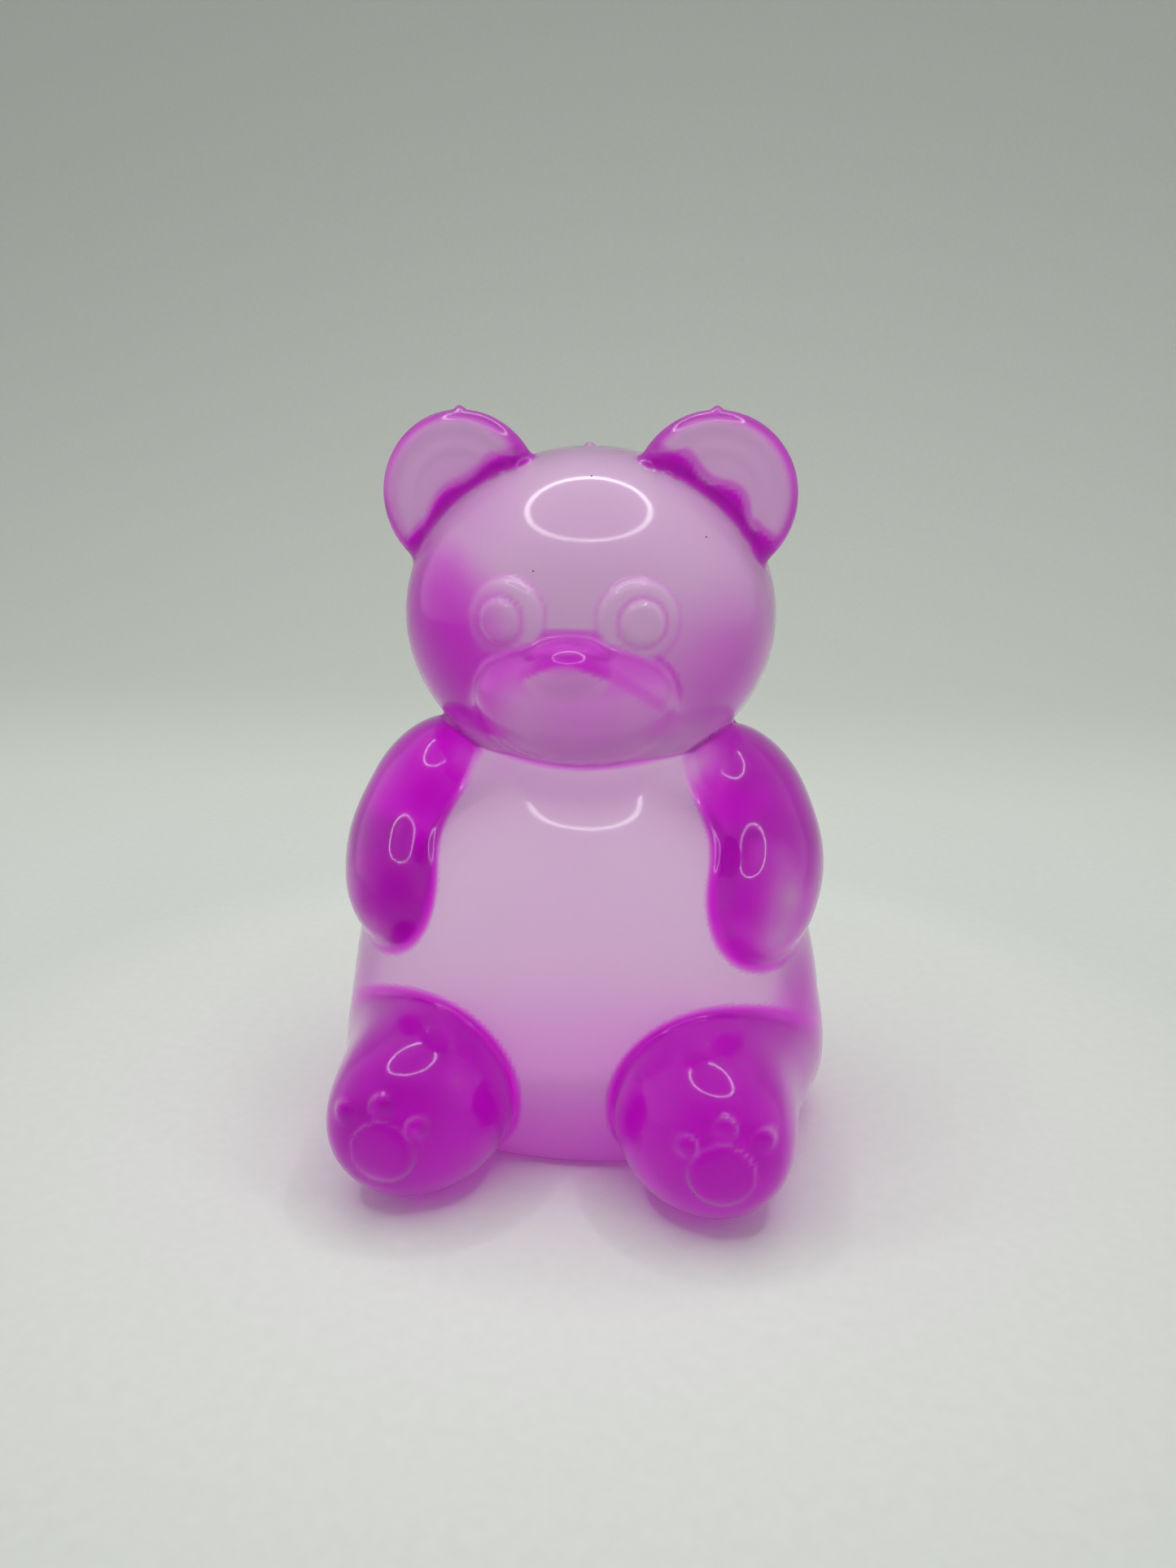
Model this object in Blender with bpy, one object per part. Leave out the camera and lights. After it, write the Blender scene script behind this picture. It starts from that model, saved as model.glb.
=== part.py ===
"""Seated bear figure moulded in one solid piece of clear tinted plastic.

Everything is in metres, +Z up, the face towards -Y. Each form (head, ears, muzzle, eyes, legs,
paw prints) is a UV sphere pushed out to its own superellipsoid. The trunk and each arm are spheres
pushed out to two such forms that flow into each other. One union joins them all, and a block then
cuts the seat flat at z = 0.
"""

from dataclasses import dataclass
from math import asin, atan2, copysign, cos, radians, sin, sqrt

import bmesh
import bpy
from mathutils import Euler, Vector

MM = 0.001

# The two halves of the mould meet on the plane y = PARTING_Y, which centres the box on the origin.
PARTING_Y = 5.17 * MM

# Trunk: a pear, widest low down, with a rounder yoke that carries the shoulders up under the head.
TRUNK_HALF_WIDTH = 20.6 * MM
TRUNK_HALF_DEPTH = 14.4 * MM
TRUNK_Z = 12.0 * MM
TRUNK_RISE = 21.8 * MM
TRUNK_DROP = 16.0 * MM
TRUNK_FORWARD = 2.5 * MM
TRUNK_UPPER_POWER = 2.5
TRUNK_LOWER_POWER = 3.3
TRUNK_FLARE = 0.15
YOKE_HALF_WIDTH = 15.0 * MM
YOKE_HALF_DEPTH = 9.8 * MM
YOKE_HALF_HEIGHT = 8.6 * MM
YOKE_FORWARD = -1.6 * MM
YOKE_Z = 27.0 * MM
TRUNK_BLEND = 3.0 * MM

# Head and the relief of its face.
HEAD_HALF_WIDTH = 15.65 * MM
HEAD_HALF_DEPTH = 13.6 * MM
HEAD_HALF_HEIGHT = 13.9 * MM
HEAD_Z = 43.4 * MM
HEAD_BACK = 1.1 * MM
MUZZLE_HALF_WIDTH = 7.8 * MM
MUZZLE_HALF_DEPTH = 5.9 * MM
MUZZLE_HALF_HEIGHT = 5.3 * MM
MUZZLE_Z = 38.9 * MM
MUZZLE_FORWARD = 9.7 * MM
NOSE_HALF_WIDTH = 3.3 * MM
NOSE_HALF_DEPTH = 2.9 * MM
NOSE_HALF_HEIGHT = 2.2 * MM
NOSE_Z = 41.2 * MM
NOSE_FORWARD = 13.3 * MM
EYE_OUT = 4.95 * MM
EYE_Z = 44.7 * MM
EYE_FORWARD = 11.6 * MM
EYE_YAW = 19.0
EYE_RADIUS = 3.05 * MM
EYE_HALF_DEPTH = 1.3 * MM
PUPIL_RADIUS = 1.65 * MM
PUPIL_HALF_DEPTH = 1.0 * MM
PUPIL_AHEAD = 0.91 * MM
EYE_RIM_POWER = 2.3
PUPIL_RIM_POWER = 3.2

# Ears: round discs with a raised rim round a shallow dish in front, which has a faint step inside.
EAR_RADIUS = 6.6 * MM
EAR_HALF_THICKNESS = 2.0 * MM
EAR_OUT = 10.2 * MM
EAR_Z = 53.4 * MM
EAR_FORWARD = 2.1 * MM
EAR_YAW = 4.0
EAR_RIM_POWER = 3.0
DISH_RADIUS = 5.7 * MM
DISH_SLOPE = 1.3 * MM
DISH_DEPTH = 0.8 * MM
STEP_RADIUS = 3.6 * MM
STEP_SLOPE = 0.5 * MM
STEP_SHARE = 0.25

# Arms: an upper arm that leans in to the shoulder, and a rounded hand that reaches forwards.
HAND_OUT = 15.0 * MM
HAND_FORWARD = 6.9 * MM
HAND_Z = 22.5 * MM
HAND_HALF_WIDTH = 4.75 * MM
HAND_HALF_LENGTH = 7.4 * MM
HAND_HALF_HEIGHT = 5.8 * MM
HAND_TURN = (14.0, 0.0, -14.0)
UPPER_ARM_OUT = 13.6 * MM
UPPER_ARM_FORWARD = 1.4 * MM
UPPER_ARM_Z = 27.2 * MM
UPPER_ARM_HALF_WIDTH = 5.6 * MM
UPPER_ARM_HALF_DEPTH = 7.6 * MM
UPPER_ARM_HALF_LENGTH = 8.1 * MM
UPPER_ARM_LEAN = 26.0
ARM_BLEND = 3.0 * MM

# Legs: short, blunt and bowed, so that the soles stand a little outwards.
LEG_OUT = 11.5 * MM
LEG_FORWARD = 13.9 * MM
LEG_Z = 7.1 * MM
LEG_HALF_LENGTH = 10.5 * MM
LEG_HALF_WIDTH = 7.25 * MM
LEG_HALF_HEIGHT = 7.3 * MM
LEG_POWER = 2.7
LEG_BOW = 3.2 * MM
LEG_SPLAY = 1.9 * MM

# Paw prints raised from each sole: one round pad, and toes given as (out, forward, height).
PAD = (12.5 * MM, 24.1 * MM, 6.8 * MM)
PAD_RADIUS = 2.45 * MM
PAD_HALF_DEPTH = 0.8 * MM
PAD_RIM_POWER = 2.6
PAD_TURN = (4.0, 10.0)
TOES = (
    (15.4 * MM, 23.1 * MM, 9.5 * MM),
    (12.6 * MM, 23.35 * MM, 10.35 * MM),
    (9.9 * MM, 23.5 * MM, 8.8 * MM),
)
TOE_RADIUS = 0.85 * MM

# Gate marks left on the crown and on the top of each ear.
NUB_RADIUS = 0.42 * MM
NUB_SINK = 0.1 * MM

SEAT_BLOCK = 90.0 * MM

# Blended surfaces: the stretch of the sphere that sets their directions, the step their slope is
# measured over, how far out they can lie, and how often the search for them is halved.
TRUNK_STRETCH = (1.0, 0.7, 0.9)
ARM_STRETCH = (0.5, 0.9, 1.0)
PROBE = 0.02 * MM
FARTHEST = 40.0 * MM
HALVINGS = 26


@dataclass
class Form:
    """A sphere pushed out to half sizes across, through and along its own middle line.

    The profile rises with one power above the middle and another below it, and flare widens it
    towards its low end. The middle line is bent by bend(t), with t running from -1 to 1, and the
    whole form is turned by the angles of turn, in degrees.
    """

    name: str
    centre: Vector
    across: float
    through: float
    rise: float
    drop: float = 0.0
    upper_power: float = 2.0
    lower_power: float = 2.0
    ring_power: float = 2.0
    flare: float = 0.0
    dish: float = 0.0
    bend: object = None
    turn: tuple = (0.0, 0.0, 0.0)
    segments: int = 32
    rings: int = 16


def clear_scene():
    """Removes every object of the startup scene."""
    for thing in list(bpy.data.objects):
        bpy.data.objects.remove(thing, do_unlink=True)


def new_collection(name):
    """A collection linked to the scene."""
    group = bpy.data.collections.new(name)
    bpy.context.scene.collection.children.link(group)
    return group


def tinted_plastic():
    """The one finish: glossy magenta plastic."""
    finish = bpy.data.materials.new("clear_magenta_plastic")
    finish.use_nodes = True
    shader = finish.node_tree.nodes["Principled BSDF"]
    shader.inputs["Base Color"].default_value = (0.47, 0.05, 0.47, 1.0)
    shader.inputs["Roughness"].default_value = 0.06
    shader.inputs["IOR"].default_value = 1.5
    finish.diffuse_color = (0.47, 0.05, 0.47, 1.0)
    return finish


def rotated(point, angles):
    """The point turned about x, then y, then z, in degrees."""
    point = point.copy()
    point.rotate(Euler([radians(angle) for angle in angles]))
    return point


def eased(share):
    """Smoothstep, held at 0 and 1."""
    share = max(0.0, min(1.0, share))
    return share * share * (3 - 2 * share)


def sunk(radius, depth):
    """How far the dish lies below the face at a radius: most inside its edge, the rest inside its step."""
    edge = eased((DISH_RADIUS - radius) / DISH_SLOPE)
    step = eased((STEP_RADIUS - radius) / STEP_SLOPE)
    return depth * ((1 - STEP_SHARE) * edge + STEP_SHARE * step)


def shaped(point, form):
    """Moves a point of the unit sphere to the same latitude and longitude on the form."""
    latitude = asin(max(-1.0, min(1.0, point.z)))
    longitude = atan2(point.y, point.x)
    power = form.upper_power if latitude >= 0 else form.lower_power
    along = copysign(abs(sin(latitude)) ** (2 / power), latitude)
    ring = max(cos(latitude), 0.0) ** (2 / form.ring_power)
    width = form.across * (1 - form.flare * along) * ring
    height = form.rise if latitude >= 0 or not form.drop else form.drop
    local = Vector((width * cos(longitude), form.through * ring * sin(longitude), height * along))
    if form.dish and along > 0:
        local.z -= sunk(local.xy.length, form.dish)
    if form.bend:
        local += form.bend(along)
    return rotated(local, form.turn) + form.centre


def level(point, form):
    """Below 0 inside the form, 0 on its surface and above 0 outside it. The form has no bend or dish."""
    local = point - form.centre
    local.rotate(Euler([radians(angle) for angle in form.turn]).to_matrix().inverted())
    height = form.rise if local.z >= 0 or not form.drop else form.drop
    power = form.upper_power if local.z >= 0 else form.lower_power
    t = local.z / height
    width = form.across * (1 - form.flare * max(-1.3, min(1.3, t)))
    return sqrt((local.x / width) ** 2 + (local.y / form.through) ** 2 + abs(t) ** power) - 1


def distance(point, form):
    """Roughly how far the point lies outside the form: its level over the slope of the level."""
    steps = [Vector(step) * PROBE for step in ((1, 0, 0), (0, 1, 0), (0, 0, 1))]
    slopes = [(level(point + step, form) - level(point - step, form)) / (2 * PROBE) for step in steps]
    return level(point, form) / max(Vector(slopes).length, 1.0)


def blended(point, first, second, blend):
    """Smooth minimum of the distances to two forms: the surface where they meet is filled round."""
    near = distance(point, first)
    far = distance(point, second)
    overlap = max(blend - abs(near - far), 0.0) / blend
    return min(near, far) - overlap * overlap * blend / 4


def felt(direction, middle, first, second, blend):
    """The point where a ray from the middle leaves the blend of the two forms, found by halving."""
    low = 0.0
    high = FARTHEST
    for _ in range(HALVINGS):
        reach = (low + high) / 2
        if blended(middle + direction * reach, first, second, blend) < 0:
            low = reach
        else:
            high = reach
    return middle + direction * low


def shell_object(name, shell, group, mirrored):
    """Turns the bmesh into a closed wireframe helper, mirrored across x = 0 if asked."""
    if mirrored:
        for vertex in shell.verts:
            vertex.co.x = -vertex.co.x
    bmesh.ops.recalc_face_normals(shell, faces=shell.faces)
    mesh = bpy.data.meshes.new(name)
    shell.to_mesh(mesh)
    shell.free()
    thing = bpy.data.objects.new(name, mesh)
    group.objects.link(thing)
    thing.hide_render = True
    thing.display_type = "WIRE"
    return thing


def build(form, group, mirrored=False):
    """The form as a closed mesh object, or its mirror image across x = 0."""
    shell = bmesh.new()
    bmesh.ops.create_uvsphere(shell, u_segments=form.segments, v_segments=form.rings, radius=1.0)
    for vertex in shell.verts:
        vertex.co = shaped(vertex.co, form)
    return shell_object(form.name, shell, group, mirrored)


def build_blend(pair, blend, sizes, group, mirrored=False):
    """Two forms that flow into each other, as one closed mesh object named after the first.

    A sphere stretched to the given sizes sets the directions, and its centre lies between the two.
    """
    first, second = pair
    middle = (first.centre + second.centre) / 2
    shell = bmesh.new()
    bmesh.ops.create_uvsphere(shell, u_segments=first.segments, v_segments=first.rings, radius=1.0)
    for vertex in shell.verts:
        stretched = Vector([part * size for part, size in zip(vertex.co, sizes)])
        vertex.co = felt(stretched.normalized(), middle, first, second, blend)
    return shell_object(first.name, shell, group, mirrored)


def at(out, forward, height):
    """A point from its distance out from the middle, forward of the parting plane, and height."""
    return Vector((out, PARTING_Y - forward, height))


def leg_line(t):
    """Middle line of a leg: t = 1 at the sole and t = -1 inside the hip."""
    return Vector((LEG_BOW * t * t - LEG_SPLAY * t, 0, 0))


def trunk_forms():
    """The pear of the trunk and the yoke that carries the shoulders."""
    return (
        Form(
            "trunk",
            at(0, TRUNK_FORWARD, TRUNK_Z),
            across=TRUNK_HALF_WIDTH,
            through=TRUNK_HALF_DEPTH,
            rise=TRUNK_RISE,
            drop=TRUNK_DROP,
            upper_power=TRUNK_UPPER_POWER,
            lower_power=TRUNK_LOWER_POWER,
            flare=TRUNK_FLARE,
            segments=48,
            rings=30,
        ),
        Form(
            "yoke",
            at(0, YOKE_FORWARD, YOKE_Z),
            across=YOKE_HALF_WIDTH,
            through=YOKE_HALF_DEPTH,
            rise=YOKE_HALF_HEIGHT,
        ),
    )


def arm_forms():
    """The hand and the upper arm."""
    return (
        Form(
            "arm",
            at(HAND_OUT, HAND_FORWARD, HAND_Z),
            across=HAND_HALF_WIDTH,
            through=HAND_HALF_LENGTH,
            rise=HAND_HALF_HEIGHT,
            turn=HAND_TURN,
            segments=34,
            rings=20,
        ),
        Form(
            "upper_arm",
            at(UPPER_ARM_OUT, UPPER_ARM_FORWARD, UPPER_ARM_Z),
            across=UPPER_ARM_HALF_WIDTH,
            through=UPPER_ARM_HALF_DEPTH,
            rise=UPPER_ARM_HALF_LENGTH,
            turn=(0.0, -UPPER_ARM_LEAN, 0.0),
        ),
    )


def middle_forms():
    """Head, muzzle and nose, and the gate mark on the crown."""
    crown = at(0, 0, HEAD_Z + HEAD_HALF_HEIGHT - NUB_SINK)
    return [
        Form(
            "head",
            at(0, -HEAD_BACK, HEAD_Z),
            across=HEAD_HALF_WIDTH,
            through=HEAD_HALF_DEPTH,
            rise=HEAD_HALF_HEIGHT,
            segments=48,
            rings=26,
        ),
        Form(
            "muzzle",
            at(0, MUZZLE_FORWARD, MUZZLE_Z),
            across=MUZZLE_HALF_WIDTH,
            through=MUZZLE_HALF_DEPTH,
            rise=MUZZLE_HALF_HEIGHT,
            segments=32,
            rings=18,
        ),
        Form(
            "nose",
            at(0, NOSE_FORWARD, NOSE_Z),
            across=NOSE_HALF_WIDTH,
            through=NOSE_HALF_DEPTH,
            rise=NOSE_HALF_HEIGHT,
            segments=22,
            rings=12,
        ),
        Form("crown_nub", crown, NUB_RADIUS, NUB_RADIUS, NUB_RADIUS, segments=8, rings=4),
    ]


def face_and_ear_forms():
    """One eye with its pupil, one ear and the ear's gate mark."""
    facing = (90.0, 0.0, EYE_YAW)
    ahead = rotated(Vector((0, -PUPIL_AHEAD, 0)), (0, 0, EYE_YAW))
    eye = at(EYE_OUT, EYE_FORWARD, EYE_Z)
    ear = at(EAR_OUT, EAR_FORWARD, EAR_Z)
    tip = ear + Vector((0, 0, EAR_RADIUS - NUB_SINK))
    return [
        Form(
            "eye",
            eye,
            across=EYE_RADIUS,
            through=EYE_RADIUS,
            rise=EYE_HALF_DEPTH,
            ring_power=EYE_RIM_POWER,
            turn=facing,
            segments=26,
            rings=10,
        ),
        Form(
            "pupil",
            eye + ahead,
            across=PUPIL_RADIUS,
            through=PUPIL_RADIUS,
            rise=PUPIL_HALF_DEPTH,
            ring_power=PUPIL_RIM_POWER,
            turn=facing,
            segments=20,
            rings=8,
        ),
        Form(
            "ear",
            ear,
            across=EAR_RADIUS,
            through=EAR_RADIUS,
            rise=EAR_HALF_THICKNESS,
            ring_power=EAR_RIM_POWER,
            dish=DISH_DEPTH,
            turn=(90.0, 0.0, EAR_YAW),
            segments=40,
            rings=18,
        ),
        Form("ear_nub", tip, NUB_RADIUS, NUB_RADIUS, NUB_RADIUS, segments=8, rings=4),
    ]


def leg_form():
    """One leg."""
    return Form(
        "leg",
        at(LEG_OUT, LEG_FORWARD, LEG_Z),
        across=LEG_HALF_WIDTH,
        through=LEG_HALF_HEIGHT,
        rise=LEG_HALF_LENGTH,
        upper_power=LEG_POWER,
        lower_power=LEG_POWER,
        ring_power=LEG_POWER,
        bend=leg_line,
        turn=(90.0, 0.0, 0.0),
        segments=34,
        rings=20,
    )


def paw_forms():
    """The pad and the toes of one sole."""
    tip, yaw = PAD_TURN
    pad = Form(
        "pad",
        at(*PAD),
        across=PAD_RADIUS,
        through=PAD_RADIUS,
        rise=PAD_HALF_DEPTH,
        ring_power=PAD_RIM_POWER,
        turn=(90.0 - tip, 0.0, yaw),
        segments=24,
        rings=8,
    )
    toes = [
        Form(f"toe_{i}", at(*toe), TOE_RADIUS, TOE_RADIUS, TOE_RADIUS, segments=12, rings=6)
        for i, toe in enumerate(TOES)
    ]
    return [pad, *toes]


def seat_block(group):
    """A block whose top face lies on z = 0."""
    bpy.ops.mesh.primitive_cube_add(size=SEAT_BLOCK, location=(0, 0, -SEAT_BLOCK / 2))
    block = bpy.context.active_object
    block.name = "seat_block"
    for owner in list(block.users_collection):
        owner.objects.unlink(block)
    group.objects.link(block)
    block.hide_render = True
    block.display_type = "WIRE"
    return block


def main():
    clear_scene()
    figure = new_collection("bear_figure")
    joined = new_collection("forms")
    cutters = new_collection("cutters")

    for form in middle_forms():
        build(form, joined)
    for form in [*face_and_ear_forms(), leg_form(), *paw_forms()]:
        build(form, joined)
        build(form, joined, mirrored=True)
    for mirrored in (False, True):
        build_blend(arm_forms(), ARM_BLEND, ARM_STRETCH, joined, mirrored)

    bear = build_blend(trunk_forms(), TRUNK_BLEND, TRUNK_STRETCH, figure)
    bear.name = "bear"
    bear.hide_render = False
    bear.display_type = "TEXTURED"

    union = bear.modifiers.new("join_forms", "BOOLEAN")
    union.operation = "UNION"
    union.operand_type = "COLLECTION"
    union.collection = joined
    union.solver = "EXACT"

    seat = bear.modifiers.new("flat_seat", "BOOLEAN")
    seat.operation = "DIFFERENCE"
    seat.object = seat_block(cutters)
    seat.solver = "EXACT"

    bear.data.materials.append(tinted_plastic())
    bpy.context.view_layer.objects.active = bear
    bear.select_set(True)
    bear.data.shade_smooth()
    bear.data.set_sharp_from_angle(angle=radians(40))


main()
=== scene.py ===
"""Seated gummy bear figure of clear magenta plastic, on a pale floor in soft studio light.

The figure is one closed skin. Its forms (trunk, yoke, head, ears, muzzle, eyes, arms, legs and paw
prints) are numpy surfaces on grids. They are joined by a voxel remesh, and every point of the joined
skin is then drawn onto one smooth field, so that the forms flow into each other with small fillets
as moulded plastic does. Lengths inside the forms are millimetres, and meshes are metres.
"""

import logging
import math
from collections.abc import Callable
from dataclasses import dataclass, field
from enum import Enum

import bpy
import numpy as np
from mathutils import Matrix, Vector


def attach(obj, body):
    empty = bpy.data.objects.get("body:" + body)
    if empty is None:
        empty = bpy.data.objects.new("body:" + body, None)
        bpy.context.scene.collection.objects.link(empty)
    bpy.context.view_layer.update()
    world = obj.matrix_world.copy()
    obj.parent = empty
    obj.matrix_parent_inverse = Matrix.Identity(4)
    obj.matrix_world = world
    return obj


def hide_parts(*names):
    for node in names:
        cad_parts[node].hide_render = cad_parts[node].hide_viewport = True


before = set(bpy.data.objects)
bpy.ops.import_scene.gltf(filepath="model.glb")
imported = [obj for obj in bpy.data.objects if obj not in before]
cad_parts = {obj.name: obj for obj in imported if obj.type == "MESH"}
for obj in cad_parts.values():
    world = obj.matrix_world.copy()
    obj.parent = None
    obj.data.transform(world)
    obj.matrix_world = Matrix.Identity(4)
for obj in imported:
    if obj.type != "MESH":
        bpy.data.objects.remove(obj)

LOG = logging.getLogger("bear")
MM = 0.001
PARTING_Y = 5.17
BOUNCES = 24


class Detail(Enum):
    """How fine the skin is cut, as the voxel edge in millimetres."""

    QUICK = 0.5
    FULL = 0.35


class Easing(Enum):
    """How a Map Range node runs from one end to the other."""

    LINEAR = "LINEAR"
    SMOOTH = "SMOOTHSTEP"
    SMOOTHER = "SMOOTHERSTEP"


def turn_matrix(degrees: tuple[float, float, float]) -> np.ndarray:
    """Rotation about x, then y, then z.

    Args:
        degrees: The three angles.

    Returns:
        The 3 by 3 matrix Rz Ry Rx.
    """
    ax, ay, az = (math.radians(value) for value in degrees)
    about_x = np.array([[1, 0, 0], [0, math.cos(ax), -math.sin(ax)], [0, math.sin(ax), math.cos(ax)]])
    about_y = np.array([[math.cos(ay), 0, math.sin(ay)], [0, 1, 0], [-math.sin(ay), 0, math.cos(ay)]])
    about_z = np.array([[math.cos(az), -math.sin(az), 0], [math.sin(az), math.cos(az), 0], [0, 0, 1]])
    return about_z @ about_y @ about_x


def smooth_least(first: np.ndarray, second: np.ndarray, blend: float | np.ndarray) -> np.ndarray:
    """Smooth minimum: min(a, b) - h * h * k / 4, with h = max(k - |a - b|, 0) / k.

    Args:
        first: Distances to one shape.
        second: Distances to the other.
        blend: Width k of the fillet, in millimetres.

    Returns:
        Distances to the union, filled round where the two meet.
    """
    overlap = np.maximum(blend - np.abs(first - second), 0.0) / blend
    return np.minimum(first, second) - overlap * overlap * blend / 4


def fade(distance: np.ndarray, width: float) -> np.ndarray:
    """Smoothstep that is 1 up to distance 0 and 0 from the width on.

    Args:
        distance: Distances in millimetres.
        width: Where it reaches 0.

    Returns:
        Weights t * t * (3 - 2 * t), with t = 1 - distance / width held within 0 and 1.
    """
    t = np.clip(1 - distance / width, 0, 1)
    return t * t * (3 - 2 * t)


def gradient(measure: Callable[[np.ndarray], np.ndarray], points: np.ndarray, step: float) -> np.ndarray:
    """Central differences along x, y and z: (f(p + s) - f(p - s)) / (2 * s).

    Args:
        measure: The function f, from N by 3 points to N values.
        points: N by 3 points in millimetres.
        step: The step s in millimetres.

    Returns:
        N by 3 slopes.
    """
    probes = np.eye(3) * step
    return np.stack([measure(points + p) - measure(points - p) for p in probes], axis=1) / (2 * step)


def ring_quads(rows: int, around: int) -> np.ndarray:
    """Quads between neighbouring rings, and one flat fan strip folded over each end.

    Args:
        rows: Number of rings.
        around: Points in each ring.

    Returns:
        Rows of four indices, wound so that they face outwards when rings run upwards.
    """
    row, step = np.meshgrid(np.arange(rows - 1), np.arange(around), indexing="ij")
    below, after = row * around, (step + 1) % around
    above = below + around
    sides = np.stack([below + step, below + after, above + after, above + step], -1)
    half = np.arange(around // 2 - 1)
    low = np.stack([half, around - 1 - half, around - 2 - half, half + 1], -1)
    high = low[:, ::-1] + (rows - 1) * around
    return np.concatenate([sides.reshape(-1, 4), low, high])


@dataclass(frozen=True)
class Form:
    """A superellipsoid with its own middle line, in millimetres from the parting plane.

    Attributes:
        centre: Distance out, forward of the parting plane, and height.
        across: Half size along its local x.
        through: Half size along its local y.
        rise: Half size along its local +z.
        drop: Half size along its local -z, or 0 for the same as rise.
        upper: Power of the profile above the middle.
        lower: Power of the profile below it.
        ring: Power that joins the profile and the ring.
        flare: Share by which the low end is wider.
        bow: Sideways shift of the middle line, as bow * t * t - splay * t.
        splay: See bow.
        dish: Depth of a round hollow in the local +z face.
        dish_radius: Radius of that hollow.
        dish_step: Radius of the step inside it, which takes a quarter of the depth.
        turn: Turns about x, y and z, in degrees.
    """

    centre: tuple[float, float, float]
    across: float
    through: float
    rise: float
    drop: float = 0.0
    upper: float = 2.0
    lower: float = 2.0
    ring: float = 2.0
    flare: float = 0.0
    bow: float = 0.0
    splay: float = 0.0
    dish: float = 0.0
    dish_radius: float = 1.0
    dish_step: float = 0.5
    turn: tuple[float, float, float] = (0.0, 0.0, 0.0)

    # Widths of the slopes at the hollow's border and step, and the step's share of the depth.
    BORDER, STEP, STEP_SHARE = 1.3, 0.5, 0.25
    # Largest t up to which the middle line bends, and the angle left open at the grid's poles.
    HELD, POLE = 1.3, 1e-3
    # Distance under which the slope is measured, its step, and a length that keeps it from 0.
    NEAR, PROBE, LEAST_SLOPE = 4.0, 0.02, 1e-3

    def middle(self) -> np.ndarray:
        """The centre as x, y, z, with y measured from the middle of the object's box."""
        out, forward, height = self.centre
        return np.array([out, PARTING_Y - forward, height])

    def sink(self, radius: np.ndarray) -> np.ndarray:
        """Depth of the hollow: one smooth slope inside its border and one inside its step.

        Args:
            radius: Distances from the local z axis.

        Returns:
            Depths in millimetres.
        """
        border = fade(radius - self.dish_radius + self.BORDER, self.BORDER)
        step = fade(radius - self.dish_step + self.STEP, self.STEP)
        return self.dish * ((1 - self.STEP_SHARE) * border + self.STEP_SHARE * step)

    def level(self, points: np.ndarray) -> np.ndarray:
        """Implicit function (rho ** ring + |t| ** power) ** (1 / ring) - 1, with rho from local x and y.

        Args:
            points: N by 3 points in millimetres.

        Returns:
            N values, below 0 inside.
        """
        local = (points - self.middle()) @ turn_matrix(self.turn)
        above = local[:, 2] >= 0
        height = local[:, 2]
        if self.dish:
            height = height + np.where(above, self.sink(np.hypot(local[:, 0], local[:, 1])), 0.0)
        t = height / np.where(above, self.rise, self.drop or self.rise)
        held = np.clip(t, -self.HELD, self.HELD)
        x = (local[:, 0] - self.bow * held**2 + self.splay * held) / (self.across * (1 - self.flare * held))
        rho = np.sqrt(x**2 + (local[:, 1] / self.through) ** 2)
        power = np.where(above, self.upper, self.lower)
        return (rho**self.ring + np.abs(t) ** power) ** (1 / self.ring) - 1

    def distance(self, points: np.ndarray) -> np.ndarray:
        """Level over the length of its slope near the form, and level times its least half size far off.

        Args:
            points: N by 3 points in millimetres.

        Returns:
            N distances, roughly in millimetres, below 0 inside.
        """
        level = self.level(points)
        away = level * min(self.across, self.through, self.rise)
        near = away < self.NEAR
        slope = gradient(self.level, points[near], self.PROBE)
        away[near] = level[near] / (np.linalg.norm(slope, axis=1) + self.LEAST_SLOPE)
        return away

    def grid(self, around: int = 64, along: int = 40) -> tuple[np.ndarray, np.ndarray]:
        """Surface over longitude u and latitude v: ring cos(v) ** (2 / ring), height sin(v) ** (2 / power).

        Args:
            around: Points round each ring.
            along: Rings from end to end, poles left out.

        Returns:
            Points in millimetres, and quads as rows of four indices, with poles as thin quads.
        """
        u = np.linspace(0, 2 * math.pi, around, endpoint=False)
        v = np.linspace(-math.pi / 2, math.pi / 2, along + 2)[1:-1]
        v = np.concatenate([[-math.pi / 2 + self.POLE], v, [math.pi / 2 - self.POLE]])
        uu, vv = np.meshgrid(u, v)
        power = np.where(vv >= 0, self.upper, self.lower)
        t = np.sign(vv) * np.abs(np.sin(vv)) ** (2 / power)
        reach = np.cos(vv) ** (2 / self.ring)
        x = self.across * (1 - self.flare * t) * reach * np.cos(uu)
        y = self.through * reach * np.sin(uu)
        z = np.where(t >= 0, self.rise, self.drop or self.rise) * t
        z = z - np.where(t > 0, self.sink(np.hypot(x, y)), 0)
        x = x + self.bow * t**2 - self.splay * t
        points = np.stack([x, y, z], axis=-1).reshape(-1, 3) @ turn_matrix(self.turn).T + self.middle()
        return points, ring_quads(len(v), around)


@dataclass(frozen=True)
class Torso:
    """The pear-shaped trunk and the yoke under the head."""

    trunk: Form = Form((0, 2.5, 12.0), 20.6, 14.4, 21.8, drop=16.0, upper=2.5, lower=3.3, flare=0.15)
    yoke: Form = Form((0, -1.6, 27.0), 15.0, 9.8, 8.6)
    blend: float = 3.0

    def forms(self) -> list[Form]:
        """Forms on the middle plane."""
        return [self.trunk, self.yoke]

    def distance(self, points: np.ndarray) -> np.ndarray:
        """Distance to the blended torso."""
        return smooth_least(self.trunk.distance(points), self.yoke.distance(points), self.blend)


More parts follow.
